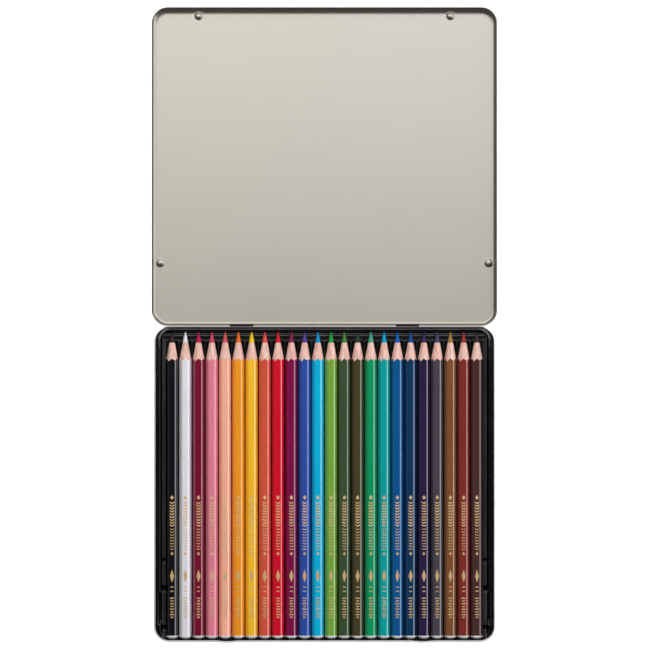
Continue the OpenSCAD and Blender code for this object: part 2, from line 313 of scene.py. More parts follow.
def lacquer(name, col, seed):
    """Gloss pencil lacquer with slight pooling, fine orange peel and dust."""
    m = Mat(name)
    m.set(Metallic=0.0, Roughness=0.4)
    m.bsdf.inputs["Specular IOR Level"].default_value = 0.03
    m.bsdf.inputs["Coat Weight"].default_value = 1.0
    m.bsdf.inputs["Coat Roughness"].default_value = 0.05
    m.bsdf.inputs["Coat IOR"].default_value = 1.9
    cloud = m.noise(120.0, 3.0, 0.55, stretch=(1, 0.25, 1), loc=(seed * 0.13, seed * 0.31, 0))
    speck = m.noise(2200.0, 2.0, 0.5, loc=(seed * 0.07, 0, 0))
    base = m.ramp(cloud, [(0.3, shade(col, 0.95)), (0.7, shade(col, 1.05))])
    dust = tuple(min(1.0, c * 0.8 + 0.08) for c in col)
    base = m.mix(m.remap(speck, 0.66, 0.8, 0.0, 0.1), base, dust)
    m.to("Base Color", base)
    m.to("Roughness", m.remap(cloud, 0.2, 0.8, 0.5, 0.6))
    m.to("Normal", m.bump(speck, 0.05, 0.00003))
    return m.mat


def wood(name):
    """Sharpened incense-cedar: pink-tan, straight fine grain along the pencil."""
    m = Mat(name)
    m.set(Metallic=0.0, Roughness=0.62)
    grain = m.noise(900.0, 4.0, 0.6, stretch=(1, 0.06, 1))
    band = m.noise(260.0, 2.0, 0.5, stretch=(1, 0.05, 1), loc=(0.2, 0, 0.1))
    pore = m.noise(2600.0, 2.0, 0.5, stretch=(1, 0.12, 1))
    base = m.ramp(grain, [(0.34, srgb(196, 148, 134)), (0.5, srgb(222, 182, 167)), (0.66, srgb(237, 209, 199))])
    base = m.mix(m.remap(band, 0.4, 0.7, 0.0, 0.55), base, srgb(212, 158, 143))
    base = m.mix(m.remap(pore, 0.6, 0.75, 0.0, 0.35), base, srgb(176, 122, 94))
    m.to("Base Color", base)
    m.to("Roughness", m.remap(grain, 0.2, 0.8, 0.55, 0.72))
    m.to("Normal", m.bump(grain, 0.25, 0.00006))
    return m.mat


def wax(name, col, seed):
    """Pigmented core: waxy, finely turned by the sharpener."""
    m = Mat(name)
    m.set(Metallic=0.0, Roughness=0.48)
    m.bsdf.inputs["Specular IOR Level"].default_value = 0.12
    turn = m.noise(1500.0, 2.0, 0.5, stretch=(0.2, 3.0, 0.2), loc=(seed * 0.11, 0, 0))
    grit = m.noise(2400.0, 3.0, 0.6, loc=(0, seed * 0.17, 0))
    base = m.ramp(grit, [(0.3, shade(col, 0.74)), (0.7, shade(col, 0.96))])
    m.to("Base Color", base)
    m.to("Roughness", m.remap(turn, 0.2, 0.8, 0.4, 0.58))
    m.to("Normal", m.bump(turn, 0.2, 0.00005))
    return m.mat


def cap_white(name):
    """White dipped end: thick gloss lacquer."""
    m = Mat(name)
    m.set(Metallic=0.0, Roughness=0.25)
    m.bsdf.inputs["Coat Weight"].default_value = 0.4
    cloud = m.noise(300.0, 3.0, 0.5)
    m.to("Base Color", m.ramp(cloud, [(0.3, srgb(232, 231, 230)), (0.7, srgb(246, 246, 245))]))
    m.to("Roughness", m.remap(cloud, 0.2, 0.8, 0.2, 0.32))
    m.to("Normal", m.bump(cloud, 0.08, 0.0001))
    return m.mat


def foil(name):
    """Pale gold hot-stamp foil with broken spots."""
    m = Mat(name)
    m.set(Metallic=0.75, Roughness=0.36)
    n = m.noise(1800.0, 3.0, 0.6)
    m.to("Base Color", m.ramp(n, [(0.3, srgb(196, 158, 104)), (0.6, srgb(222, 190, 138)), (0.8, srgb(236, 212, 170))]))
    m.to("Roughness", m.remap(n, 0.2, 0.8, 0.3, 0.5))
    return m.mat


TIN_LID = tin_inside("tinplate_lid", srgb(161, 158, 149))
TIN_BASE = tin_inside("tinplate_base", srgb(206, 205, 203))
BLACK = black_lacquer("dark_lacquer")
# dark lacquer, darkened further as painted shade, for the hinge bars and tongues
HINGE_PAINTED_SHADE = black_lacquer("hinge_painted_shade", True)
TRAY = tray_plastic("tray_sheet")
# painted highlights: pale sheet along the tray edges where they catch the light
TRAY_PAINTED_HIGHLIGHT = tray_plastic("tray_painted_highlight", ((64, 64, 65), (100, 100, 102)))
# painted sheen: lighter sheet on the rail tops, where they catch the light
TRAY_RAIL_PAINTED_SHEEN = tray_plastic("tray_rail_painted_sheen", ((30, 30, 31), (42, 42, 43)))
WOOD = wood("cedar")
WHITE = cap_white("dipped_end")
FOIL = foil("pale_foil")

# ---------------------------------------------------------------- pan sweeps


def stations(w, d, r, cx, cy, extra=None):
    """Points round a rounded rectangle: (x, y, nx, ny) with n outwards.
    extra maps a side (0 right, 1 far, 2 left, 3 near) to coordinates to include."""
    out = []
    corner = [math.radians(90 * k / 14) for k in range(15)]
    hx, hy = w / 2 - r, d / 2 - r

    def side(k, a, b):
        pts = set(np.linspace(a, b, max(2, int(abs(b - a) / 6))).round(4).tolist())
        for e in (extra or {}).get(k, []):
            if min(a, b) < e < max(a, b):
                pts.add(round(e, 4))
        pts = sorted(pts, reverse=b < a)
        return pts[1:-1]

    for y in side(0, -hy, hy):
        out.append((cx + w / 2, cy + y, 1, 0))
    for t in corner:
        out.append((cx + hx + r * math.cos(t), cy + hy + r * math.sin(t), math.cos(t), math.sin(t)))
    for x in side(1, hx, -hx):
        out.append((cx + x, cy + d / 2, 0, 1))
    for t in corner:
        t += math.pi / 2
        out.append((cx - hx + r * math.cos(t), cy + hy + r * math.sin(t), math.cos(t), math.sin(t)))
    for y in side(2, hy, -hy):
        out.append((cx - w / 2, cy + y, -1, 0))
    for t in corner:
        t += math.pi
        out.append((cx - hx + r * math.cos(t), cy - hy + r * math.sin(t), math.cos(t), math.sin(t)))
    for x in side(3, -hx, hx):
        out.append((cx + x, cy - d / 2, 0, -1))
    for t in corner:
        t += 1.5 * math.pi
        out.append((cx + hx + r * math.cos(t), cy - hy + r * math.sin(t), math.cos(t), math.sin(t)))
    return out


def arc(cu, cz, r, a0, a1, n):
    return [(cu + r * math.cos(math.radians(a0 + (a1 - a0) * k / n)),
             cz + r * math.sin(math.radians(a0 + (a1 - a0) * k / n))) for k in range(n + 1)]


def sweep(s, st, prof, warp=None):
    """prof is [(u, z, material of the band that starts here)]; returns the rings."""
    rings = []
    for u, z, _ in prof:
        pts = [(x - nx * u, y - ny * u, z) for x, y, nx, ny in st]
        if warp:
            pts = [warp(p, q) for p, q in zip(pts, st)]
        rings.append(s.add(pts))
    for k in range(len(rings) - 1):
        s.band(rings[k], rings[k + 1], prof[k][2])
    return rings


def fill(s, ring, z, extra, mat):
    """Flat panel inside a ring of points, triangulated with extra points in it."""
    co = [Vector(s.v[i][:2]) for i in ring] + [Vector(p) for p in extra]
    v, e, f, ov, oe, of_ = geometry.delaunay_2d_cdt(co, [], [list(range(len(ring)))], 1, 1e-6)
    new = []
    for k, p in enumerate(v):
        old = [i for i in ov[k] if i < len(ring)]
        new.append(ring[old[0]] if old else s.add([(p[0], p[1], z)])[0])
    for t in f:
        s.face([new[i] for i in t], mat)


def tag(points, mat):
    return [(u, z, mat) for u, z in points]


# ---- lid: bare tin inside is material 0, dark lacquer outside is 1
NUB_R = 2.6


def nub_height(r):
    """A stamped nub: a shallow dome running out in a soft skirt."""
    top, r0, h = 3.6, 1.45, 0.95
    z0 = math.sqrt(top ** 2 - r0 ** 2) - (top - h)
    m0 = -r0 / math.sqrt(top ** 2 - r0 ** 2)
    if r >= NUB_R:
        return 0.0
    if r <= r0:
        return math.sqrt(top ** 2 - r ** 2) - (top - h)
    span = NUB_R - r0
    t = (r - r0) / span
    return (2 * t ** 3 - 3 * t ** 2 + 1) * z0 + (t ** 3 - 2 * t ** 2 + t) * m0 * span


def lid_shape():
    s = Shape()
    xs = [sg * (HINGE_X + o) for sg in (-1, 1) for o in (-SLOT / 2, SLOT / 2)]
    fine = np.linspace(-2.8, 2.8, 23)
    far = [c + o for c in (-71.8, 71.8) for o in fine]
    side = [36.1 - LID_Y / 2 + o for o in fine]
    st = stations(LID_X, LID_Y, LID_R, 0, LID_Y0 + LID_Y / 2, {3: xs, 1: far, 0: side, 2: side})
    prof = []
    prof += tag([(u, 0.0) for u in (4.1, 3.8, 3.5, 3.2, 2.9, 2.6)], 1)
    prof += tag(arc(BEND, BEND, BEND, 270, 180, 12), 1)
    prof += tag([(0.0, 3.4), (0.0, 5.2)], 1)
    curl = arc(BAR_R, LID_RIM - BAR_R, BAR_R, 180, 0, 16)
    prof += tag(curl[:7], 1) + tag(curl[7:], 0)
    prof += tag([(0.7, 5.2), (0.7, 4.0), (0.62, 3.78)], 0)
    prof += tag([(0.45, 3.7), (0.33, 3.72), (SHEET, 3.6)], 0)
    keep = len(prof)
    soft = [(SHEET + 2.9 * (1 - math.cos(t)), SHEET + 3.1 * (1 - math.sin(t)))
            for t in np.linspace(0, math.pi / 2, 17)]
    prof += tag(soft, 0)
    prof += tag([(3.4, SHEET), (3.6, SHEET), (3.85, SHEET), (4.1, SHEET)], 0)
    rings = sweep(s, st, prof)
    # the inner bend is widest on the far side and tight along the hinge
    for ring, (u, _, _) in zip(rings[keep:], prof[keep:]):
        for i, (x, y, nx, ny) in zip(ring, st):
            w = SHEET + (u - SHEET) * (1 + 0.36 * ny)
            s.v[i] = (x - nx * w, y - ny * w, s.v[i][2])
    cy = LID_Y0 + LID_Y / 2
    for z, ring, mat, clear in ((SHEET, rings[-1], 0, True), (0.0, rings[0], 1, False)):
        pts = []
        for cx, c in NUBS:
            for r in (0.0, 0.35, 0.7, 1.0, 1.25, 1.45, 1.65, 1.85, 2.05, 2.25, 2.45, NUB_R, 2.68, 2.85, 3.15):
                for k in range(28 if r else 1):
                    px = cx + r * math.cos(2 * math.pi * k / 28)
                    py = c + r * math.sin(2 * math.pi * k / 28)
                    edge = (SHEET + 3.8 * 1.36 if clear and py > cy and abs(cx) < 80 else 4.1) + 0.1
                    if abs(px) < LID_X / 2 - edge and py < LID_Y0 + LID_Y - edge:
                        pts.append((px, py))
        fill(s, ring, z, pts, mat)
    # lacquer and bare tin on the hem are set per side as painted light: dark lacquer over the whole hem along the left
    # side is painted shade, bare tin on the hem top along the far edge a painted highlight
    for k, f in enumerate(s.f):
        x, y, z = (sum(s.v[i][a] for i in f) / len(f) for a in range(3))
        if z > LID_RIM - 2 * BAR_R and x < 0.95 - LID_X / 2 and abs(y - cy) < 86:
            s.m[k] = 1
        elif z > LID_RIM - BAR_R and y > LID_Y0 + LID_Y - 0.6 and y < LID_Y0 + LID_Y - 0.2 and abs(x) < 91:
            s.m[k] = 0
    for i, (x, y, z) in enumerate(s.v):
        if z < 3.4:
            r = min(math.hypot(x - cx, y - c) for cx, c in NUBS)
            s.v[i] = (x, y, z + nub_height(r))
    return s


lid = make("lid_shell", lid_shape(), [TIN_LID, BLACK], "lid", ["lid_pan"])
cut(lid, [((sg * HINGE_X - SLOT / 2, LID_Y0 - 0.5, AXIS_Z - 1.3),
           (sg * HINGE_X + SLOT / 2, LID_Y0 + 1.2, LID_RIM + 0.5)) for sg in (-1, 1)])
lid.data.set_sharp_from_angle(angle=math.radians(32))


def bars_shape():
    """The two round hinge bars that the slots leave in the lid's rim."""
    s = Shape()
    for sg in (-1, 1):
        x0, x1 = sg * HINGE_X - SLOT / 2 - 0.25, sg * HINGE_X + SLOT / 2 + 0.25
        rings = []
        for k in range(9):
            x = x0 + (x1 - x0) * k / 8
            rings.append(s.add([(x, AXIS_Y + (BAR_R - 0.004) * math.cos(a), AXIS_Z + (BAR_R - 0.004) * math.sin(a))
                                for a in np.linspace(0, 2 * math.pi, 21)[:-1]]))
        for a, b in zip(rings, rings[1:]):
            s.band(a, b)
        s.face(rings[0][::-1])
        s.face(rings[-1])
    return s


# the bars carry the painted shade of the hinge
make("hinge_bars", bars_shape(), [HINGE_PAINTED_SHADE], "lid")


# ---- base
def base_warp(p, q):
    """Pushes the front rim out at the two snap bulges."""
    x, y, z = p
    if q[3] < -0.99 and z > 6.0:
        d = min(abs(x - 55.5), abs(x + 55.5))
        if d < 6.4:
            t = min(1.0, (z - 6.0) / 2.6)
            y -= 0.465 * math.cos(math.pi / 2 * d / 6.4) ** 1.3 * t * t * (3 - 2 * t)
    return x, y, z


def base_shape():
    s = Shape()
    front = [c + o for c in (-55.5, 55.5) for o in np.linspace(-6.5, 6.5, 27)]
    st = stations(BASE_X, BASE_Y, BASE_R, 0, 0, {3: front})
    wall_o, wall_i = 2 * ROLL_R - SHEET, 2 * ROLL_R
    cu = wall_o + BEND
    prof = tag([(cu + 1.0, 0.0), (cu + 0.5, 0.0)], 1)
    prof += tag(arc(cu, BEND, BEND, 270, 180, 10), 1)
    prof += tag([(wall_o, 4.2), (wall_o, 6.0), (wall_o, 7.2), (wall_o, 8.4), (wall_o, 9.2)], 1)
    a0 = 360 - math.degrees(math.acos((wall_o - ROLL_R) / ROLL_R))
    prof += tag(arc(ROLL_R, BASE_H - ROLL_R, ROLL_R, a0, 0, 20), 0)
    prof += tag([(wall_i, 9.2), (wall_i, 8.4), (wall_i, 7.2), (wall_i, 6.0), (wall_i, 4.2)], 0)
    prof += tag(arc(cu, BEND, BEND - SHEET, 180, 270, 10), 0)
    prof += tag([(cu + 0.5, SHEET), (cu + 1.0, SHEET)], 0)
    rings = sweep(s, st, prof, base_warp)
    fill(s, rings[-1], SHEET, [], 0)
    fill(s, rings[0], 0.0, [], 1)
    # painted shade: the dark lacquer is laid over the rolled edge along the hinge
    for k, f in enumerate(s.f):
        y = sum(s.v[i][1] for i in f) / len(f)
        if 88.9 < y < 89.6 and min(s.v[i][2] for i in f) > 8.9:
            s.m[k] = 1
    return s


base = make("base_shell", base_shape(), [TIN_BASE, BLACK], "base", ["base_pan"])
cut(base, [((sg * HINGE_X - SLOT / 2 + 0.3, BASE_Y / 2 - 1.2, AXIS_Z - 0.4),
            (sg * HINGE_X + SLOT / 2 - 0.3, BASE_Y / 2 - 0.3, BASE_H - 1.5)) for sg in (-1, 1)])
base.data.set_sharp_from_angle(angle=math.radians(32))


def tongue_shape():
    """Tongues of the base, curled round the bars."""
    s = Shape()
    ro, ri = 0.65, 0.40
    poly = [(-1.14, -ro), (-0.6, -ro)]
    poly += [(ro * math.cos(math.radians(a)), ro * math.sin(math.radians(a))) for a in np.linspace(-90, 148, 22)]
    poly += [((ro - 0.125) * math.cos(math.radians(152)), (ro - 0.125) * math.sin(math.radians(152)))]
    poly += [(ri * math.cos(math.radians(a)), ri * math.sin(math.radians(a))) for a in np.linspace(148, -90, 18)]
    poly += [(-0.6, -ri), (-1.14, -ri)]
    for sg in (-1, 1):
        x0, x1 = sg * HINGE_X - SLOT / 2 + 0.3, sg * HINGE_X + SLOT / 2 - 0.3
        xs = [(x0, 0.9), (x0 + 0.06, 1.0), (x1 - 0.06, 1.0), (x1, 0.9)]
        rings = []
        for x, k in xs:
            mid = (ro + ri) / 2
            pts = []
            for y, z in poly:
                d = math.hypot(y, z)
                if d > 1e-6 and y > -0.55:
                    nd = mid + (d - mid) * k
                    y, z = y * nd / d, z * nd / d
                pts.append((x, AXIS_Y + y, AXIS_Z + z))
            rings.append(s.add(pts))
        for a, b in zip(rings, rings[1:]):
            s.band(a, b)
        s.face(rings[0][::-1])
        s.face(rings[-1])
    return s


# the tongues carry the painted shade of the hinge
make("hinge_tongues", tongue_shape(), [HINGE_PAINTED_SHADE], "base")


# ---------------------------------------------------------------- tray
def S(t):
    t = np.clip(t, 0.0, 1.0)
    return t * t * (3 - 2 * t)


def sd_box(x, y, hx, hy, r):
    """Signed distance to a rounded rectangle centred on the origin."""
    qx, qy = np.abs(x) - (hx - r), np.abs(y) - (hy - r)
    return np.hypot(np.maximum(qx, 0), np.maximum(qy, 0)) + np.minimum(np.maximum(qx, qy), 0) - r


def tray_height(x, y):
    ax = np.abs(x)
    groove, rib_top, rail, ledge, chan, flange = 2.15, 4.3, 7.0, 4.0, 0.8, 9.0
    # grooves with ribs between the pencils
    g = np.full_like(x, groove)
    k = np.round(x / PITCH)
    dx = np.abs(x - k * PITCH)
    inner = (np.abs(k) <= 11.5)
    rib = S((1.62 - dx) / 1.28) * inner
    rib = rib * S((82.35 - y) / 1.1)
    g = g + (rib_top - groove) * rib
    # side rails with round shoulders, broken by the finger gaps
    for a, b in ((-42.5, 84.1), (-57.9, -44.3), (-80.5, -60.9), (-90.0, -82.9)):
        mid, half = (a + b) / 2, (b - a) / 2
        sd = sd_box(ax - 91.5, y - mid, 0.9, half, 0.7)
        top = rail if a != -90.0 else 6.2
        r = 0.75
        o = np.clip(r + sd, 0.0, r)
        crown = top - (r - np.sqrt(r * r - o * o))
        g = np.where(sd < 0, crown, (top - r) + (g - (top - r)) * S(sd / 0.22))
    # channel outside the rails and across the rear
    g = np.where(ax > 92.4, g + (chan - g) * S((ax - 92.42) / 0.2), g)
    rear = S((y - 82.35) / 0.35)
    g = g + (chan - g) * rear
    # ledge under the points: a bead on each side of it
    lz = ledge + 0.34 * np.exp(-((y - 84.45) / 0.34) ** 2) + 0.36 * np.exp(-((y - 85.75) / 0.3) ** 2)
    lz = lz - 1.2 * S((y - 86.1) / 0.4)
    g = g + (lz - g) * S((y - 83.75) / 0.3)
    # wall up to the flange
    top_y, bot_y, hx = 87.85, -88.55, 93.6
    cy, hy = (top_y + bot_y) / 2, (top_y - bot_y) / 2
    d = -sd_box(x, y - cy, hx, hy, 6.2)
    tip = np.round(x / PITCH - 0.5) + 0.5
    near_tip = np.exp(-((x - tip * PITCH) / 1.15) ** 2) * (np.abs(tip) < 12)
    d = d + 0.3 * near_tip * S((y - 85.5) / 1.2)
    w = 0.62 + 0.38 * S((y - 82) / 5) - 0.42 * S((-84.5 - y) / 3)
    t = S(d / w)
    z = flange + (g - flange) * t
    # shallow bead round the inner edge of the flange
    z = z + 0.16 * np.exp(-((d + 0.35) / 0.4) ** 2) * S((y + 80.0) / 8)
    # finger recesses into the flange, their floor rising gently to the front
    sd = sd_box(ax - 93.1, y + 70.7, 1.75, 9.8, 1.7)
    floor_z = groove + 0.3 + 0.0016 * np.clip(-60.9 - y, 0, 20) ** 2
    z = np.where(ax > 92.4, z + (floor_z - z) * S(-sd / 0.7), z)
    return z


def tray_shape():
    def lines(parts):
        out = []
        for a, b, n in parts:
            out += np.linspace(a, b, n + 1).tolist()
        out = np.array(sorted(set(np.round(out, 4))))
        keep = [0]
        for i in range(1, len(out)):
            if out[i] - out[keep[-1]] > 0.02:
                keep.append(i)
        return out[keep]

    cell = [-3.775, -3.6, -3.45, -3.25, -3.05, -2.85, -2.65, -2.4, -2.1, -1.0,
            1.0, 2.1, 2.4, 2.65, 2.85, 3.05, 3.25, 3.45, 3.6]
    mid = [(i - 11.5) * PITCH + c for i in range(24) for c in cell]
    mid = [m for m in mid if abs(m) <= 89.9]
    side = np.concatenate([np.linspace(90.0, 92.8, 27), np.linspace(92.9, 95.0, 14), np.linspace(95.3, 96.2, 4)])
    xs = np.array(sorted(set(np.round(np.concatenate([-side, mid, side]), 4))))
    ys = lines([(-88.8, -84.5, 28), (-84.5, -83.7, 3), (-83.7, -79.6, 20), (-79.6, -62.4, 7),
                (-62.4, -57.1, 24), (-57.1, -45.3, 5), (-45.3, -41.7, 18), (-41.7, 78.0, 22),
                (78.0, 80.8, 5), (80.8, 88.8, 50)])
    X, Y = np.meshgrid(xs, ys, indexing="ij")
    Z = tray_height(X, Y)
    # pull everything outside the outline onto it
    r, hx, hy = 7.7, 96.2, 88.8
    qx, qy = np.abs(X) - (hx - r), np.abs(Y) - (hy - r)
    corner = (qx > 0) & (qy > 0)
    dist = np.hypot(np.maximum(qx, 0), np.maximum(qy, 0))
    scale = np.where(corner & (dist > r), r / np.maximum(dist, 1e-9), 1.0)
    X2 = np.where(corner, np.sign(X) * (hx - r + qx * scale), X)
    Y2 = np.where(corner, np.sign(Y) * (hy - r + qy * scale), Y)
    Z = np.where(corner & (dist > r), tray_height(X2, Y2), Z)
    nx, ny = X.shape
    s = Shape()
    top = np.array(s.add(np.stack([X2, Y2, Z], -1).reshape(-1, 3).tolist())).reshape(nx, ny)
    low = np.maximum(Z - 0.4, 0.36)
    bot = np.array(s.add(np.stack([X2, Y2, low], -1).reshape(-1, 3).tolist())).reshape(nx, ny)

    def wide(i, j):
        return len({tuple(np.round((X2[a, b], Y2[a, b]), 4)) for a in (i, i + 1) for b in (j, j + 1)}) > 2

    def painted_light_index(x, y):
        """Material index for painted light: 1 for the painted highlights along the moulded edges, 2 for the painted
        sheen on the rail tops, 0 elsewhere.
        """
        ax = abs(x)
        for a, b in ((-42.3, 83.9), (-57.7, -44.5), (-80.3, -61.1), (-88.0, -83.1)):
            if a < y < b and 90.6 < ax < 92.42:
                # rail shoulders get the painted highlight (1), rail tops the painted sheen (2)
                return 1 if ax > 91.95 or ax < 90.85 else 2
        if ax < 90 and 81.55 < y < 82.2 and abs(x - round(x / PITCH) * PITCH) < 1.35:
            return 1
        if ax < 91.5 and (84.3 < y < 84.85 or 85.6 < y < 85.95):
            return 1
        d = -sd_box(x, y + 0.35, 93.6, 88.2, 6.2)
        if y > 78 and -0.5 < d < -0.12:
            return 1
        d = sd_box(ax - 93.1, y + 70.7, 1.75, 9.8, 1.7)
        return int(ax > 92.4 and -0.42 < d < 0.0)

    far = (np.abs(X) > hx - r - 1) & (np.abs(Y) > hy - r - 1)
    for i in range(nx - 1):
        for j in range(ny - 1):
            if far[i, j] and not wide(i, j):
                continue
            s.face((top[i, j], top[i + 1, j], top[i + 1, j + 1], top[i, j + 1]),
                   painted_light_index(X2[i:i + 2, j:j + 2].mean(), Y2[i:i + 2, j:j + 2].mean()))
            s.face((bot[i, j + 1], bot[i + 1, j + 1], bot[i + 1, j], bot[i, j]))
    edge = [(i, 0) for i in range(nx)] + [(nx - 1, j) for j in range(1, ny)]
    edge += [(i, ny - 1) for i in range(nx - 2, -1, -1)] + [(0, j) for j in range(ny - 2, 0, -1)]
    for (a, b), (c, d) in zip(edge, edge[1:] + edge[:1]):
        s.face((top[a, b], bot[a, b], bot[c, d], top[c, d]))
    return s


make("formed_tray", tray_shape(), [TRAY, TRAY_PAINTED_HIGHLIGHT, TRAY_RAIL_PAINTED_SHEEN], "base", ["pencil_tray"], sharp=60)

# ---------------------------------------------------------------- pencils
COLOURS = [
    # barrel, lead, name
    ((13, 11, 19), (46, 38, 46), "black"),
    ((225, 222, 229), (226, 225, 232), "white"),
    ((120, 9, 44), (180, 28, 84), "crimson"),
    ((222, 126, 146), (208, 68, 98), "pink"),
    ((242, 174, 148), (208, 92, 102), "salmon"),
    ((240, 151, 34), (228, 112, 36), "orange"),
    ((243, 186, 42), (246, 206, 14), "yellow"),
    ((208, 81, 62), (222, 86, 70), "vermilion"),
    ((210, 10, 42), (216, 22, 46), "red"),
    ((123, 8, 69), (132, 32, 82), "wine"),
    ((42, 77, 163), (82, 66, 152), "blue_violet"),
    ((3, 176, 216), (4, 146, 202), "cyan"),
    ((117, 166, 60), (24, 156, 56), "grass_green"),
    ((58, 78, 50), (76, 131, 56), "dark_green"),
    ((69, 63, 36), (46, 61, 51), "olive"),
    ((6, 147, 94), (71, 166, 136), "emerald"),
    ((3, 157, 157), (4, 161, 201), "teal"),
    ((3, 84, 144), (4, 91, 171), "blue"),
    ((6, 53, 90), (12, 76, 141), "dark_blue"),
    ((39, 27, 66), (56, 32, 87), "dark_violet"),
    ((71, 65, 76), (76, 67, 101), "grey_violet"),
    ((126, 79, 45), (166, 126, 66), "brown"),
    ((127, 43, 37), (151, 51, 56), "red_brown"),
    ((71, 44, 42), (66, 46, 51), "dark_brown"),
]


def hexagon():
    """Outline of the barrel: flats up and down, edges rounded by the lacquer."""
    def plain(j, r):
        a = 60.0 * j
        c = (HEX_A - r) / math.cos(math.radians(30))
        cx, cz = c * math.cos(math.radians(a)), c * math.sin(math.radians(a))
        turn = [math.radians(a - 30 + 7.5 * k) for k in range(9)]
        return [(cx + r * math.cos(b), cz + r * math.sin(b)) for b in turn]

    x = z = 0.0
    pts = [(0.0, 0.0)]
    for t0, t1, r in CROWN:
        t0 = math.radians(t0)
        for k in range(1, 5):
            t = t0 + (math.radians(t1) - t0) * k / 4
            pts.append((x + r * (math.sin(t) - math.sin(t0)), z + r * (math.cos(t0) - math.cos(t))))
        x, z = pts[-1]
    x0 = (HEX_A + z) / 2 / math.cos(math.radians(30)) - x
    right = [(x0 + px, HEX_A - pz) for px, pz in pts][::-1]
    corners = [plain(0, SIDE_R), right, plain(2, EDGE_R), plain(3, SIDE_R), plain(4, LOW_R), plain(5, LOW_R)]
    out = []
    for k, c in enumerate(corners):
        (ax, az), (bx, bz) = c[-1], corners[(k + 1) % 6][0]
        out += c + [((ax + bx) / 2, (az + bz) / 2)]
    return out, x0


HEX, FLAT = hexagon()
LEAD_END = (LEAD_R - POINT_R) / CONE


def casing_shape(x0):
    """Materials: 0 lacquer, 1 wood, 2 dipped end."""
    s = Shape()

    def ring(y, k=1.0):
        return s.add([(x0 + px * k, y, HEX_Z + pz * k) for px, pz in HEX])

    caps = [ring(END_Y + 1.5 * (f ** 3), f) for f in (0.3, 0.55, 0.75, 0.88, 0.96, 1.0)]
    s.fan(caps[0][::-1], (x0, END_Y, HEX_Z), 2)
    for a, b in zip(caps, caps[1:]):
        s.band(a, b, 2)
    prev = caps[-1]
    for y, k, m in ((-86.46, 1.0, 2), (-86.40, 0.994, 2), (-86.1, 0.994, 0), (-70, 0.994, 0), (-40, 0.994, 0),
                    (-10, 0.994, 0), (20, 0.994, 0), (50, 0.994, 0), (66, 0.994, 0)):
        cur = ring(y, k)
        s.band(prev, cur, m)
        if y < -86.2:
            s.crease.append(cur)
        prev = cur
    # end of the lacquer: follows the cone round the hexagon
    rad = np.array([math.hypot(px * 0.994, pz * 0.994) for px, pz in HEX])
    sb = (rad - POINT_R) / CONE
    sb = sb.min() + 0.05 + 0.8 * (sb - sb.min())
    edge = s.add([(x0 + px * 0.994, TIP_Y - b, HEX_Z + pz * 0.994) for (px, pz), b in zip(HEX, sb)])
    s.band(prev, edge, 0)
    s.crease.append(edge)
    # lacquer film is a hair thicker than the wood
    prev = s.add([(x0 + px * 0.985, TIP_Y - b + 0.02, HEX_Z + pz * 0.985) for (px, pz), b in zip(HEX, sb)])
    s.band(edge, prev, 0)
    steps = [0.02, 0.045, 0.08, 0.13, 0.22, 0.36, 0.55, 0.78, 1.0]
    for t in steps:
        pts = []
        for (px, pz), b in zip(HEX, sb):
            d = b + (LEAD_END - b) * t
            r = POINT_R + CONE * d
            q = math.hypot(px, pz)
            r += (q * 0.985 - (POINT_R + CONE * b)) * max(0.0, 1 - (b - d) / 1.6) ** 2.2
            pts.append((x0 + px / q * r, TIP_Y - d, HEX_Z + pz / q * r))
        cur = s.add(pts)
        s.band(prev, cur, 1)
        prev = cur
    deep = s.add([(s.v[i][0], TIP_Y - LEAD_END - 5, s.v[i][2]) for i in prev])
    s.band(prev, deep, 1)
    s.fan(deep, (x0, TIP_Y - LEAD_END - 5, HEX_Z), 1)
    return s


def lead_shape(x0):
    s = Shape()
    dirs = [(px / math.hypot(px, pz), pz / math.hypot(px, pz)) for px, pz in HEX]

    def ring(d, r):
        return s.add([(x0 + a * r, TIP_Y - d, HEX_Z + b * r) for a, b in dirs])

    rings = [ring(0.03, 0.13), ring(0.10, 0.24), ring(0.24, 0.33)]
    for d in (0.5, 1.2, 2.2, 3.2, 4.2, 5.2, LEAD_END):
        rings.append(ring(d, POINT_R + CONE * d))
    rings.append(ring(LEAD_END + 0.05, LEAD_R - 0.012))
    rings.append(ring(LEAD_END + 4.9, LEAD_R - 0.012))
    s.fan(rings[0][::-1], (x0, TIP_Y, HEX_Z))
    for a, b in zip(rings, rings[1:]):
        s.band(a, b)
    s.fan(rings[-1], (x0, TIP_Y - LEAD_END - 4.9, HEX_Z))
    return s


